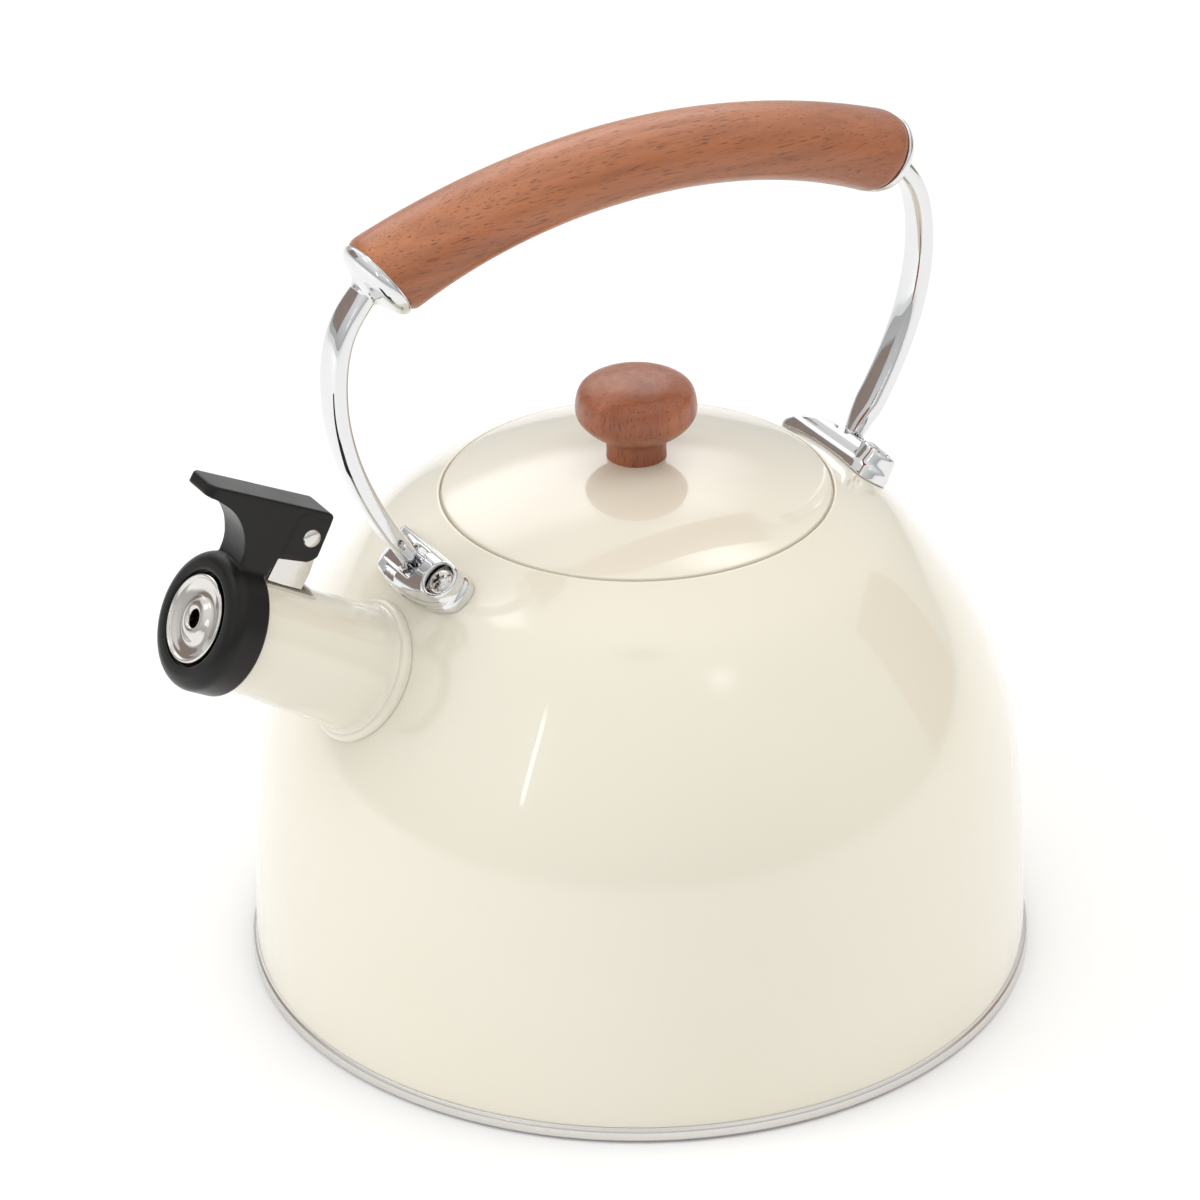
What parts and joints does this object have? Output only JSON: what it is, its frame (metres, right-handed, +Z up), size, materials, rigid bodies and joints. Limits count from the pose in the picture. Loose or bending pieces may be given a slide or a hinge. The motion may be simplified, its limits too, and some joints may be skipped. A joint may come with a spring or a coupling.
{
  "type": "stovetop whistling kettle",
  "caption": "Enamelled dome kettle with a lift-off lid, a folding bail handle with a wooden grip, and a spout closed by a whistle on a flip lever.",
  "frame": {"origin": "centre of the flat face the kettle stands on", "axes": "+Z up, the spout points along -X, the handle stands in the XZ plane and folds towards +Y"},
  "size_m": [0.2523, 0.22, 0.2468],
  "materials": {
    "enamel": "gloss",
    "steel": "satin",
    "whistle_steel": "polished",
    "screw_steel": "polished",
    "aluminium": "satin",
    "chrome": "mirror",
    "wood": "oiled",
    "knob_wood": "oiled",
    "black_plastic": "matte"
  },
  "bodies": {
    "kettle": {"body_shell": "enamel", "base_pan": "steel", "heat_spreader": "aluminium", "base_cover": "steel", "spout_tube": "enamel", "spout_bracket": "steel", "front_bracket": "chrome", "rear_bracket": "chrome", "front_bracket_screw": "screw_steel", "rear_bracket_screw": "screw_steel", "front_weld_boss": "steel", "rear_weld_boss": "steel", "front_pivot_pin": "screw_steel", "rear_pivot_pin": "screw_steel"},
    "handle": {"front_arm": "chrome", "rear_arm": "chrome", "front_ferrule": "chrome", "rear_ferrule": "chrome", "grip": "wood", "front_grip_pin": "screw_steel", "rear_grip_pin": "screw_steel"},
    "lid": {"lid_shell": "enamel", "lid_skirt": "steel", "knob": "knob_wood", "knob_screw": "screw_steel", "knob_washer": "steel"},
    "whistle": {"whistle_lever": "black_plastic", "whistle_front_disc": "whistle_steel", "whistle_rear_disc": "whistle_steel", "hinge_pin": "screw_steel"}
  },
  "joints": [
    {"name": "handle_fold", "type": "hinge", "parent": "kettle", "child": "handle", "pos_m": [0, 0, 0.1348], "axis": [-1, 0, 0], "range_deg": [0, 75]},
    {"name": "lid_lift", "type": "slide", "parent": "kettle", "child": "lid", "axis": [0, 0, 1], "range_m": [0, 0.04]},
    {"name": "whistle_flip", "type": "hinge", "parent": "kettle", "child": "whistle", "pos_m": [-0.10243, 0, 0.15538], "axis": [0, 1, 0], "range_deg": [0, 55]}
  ]
}
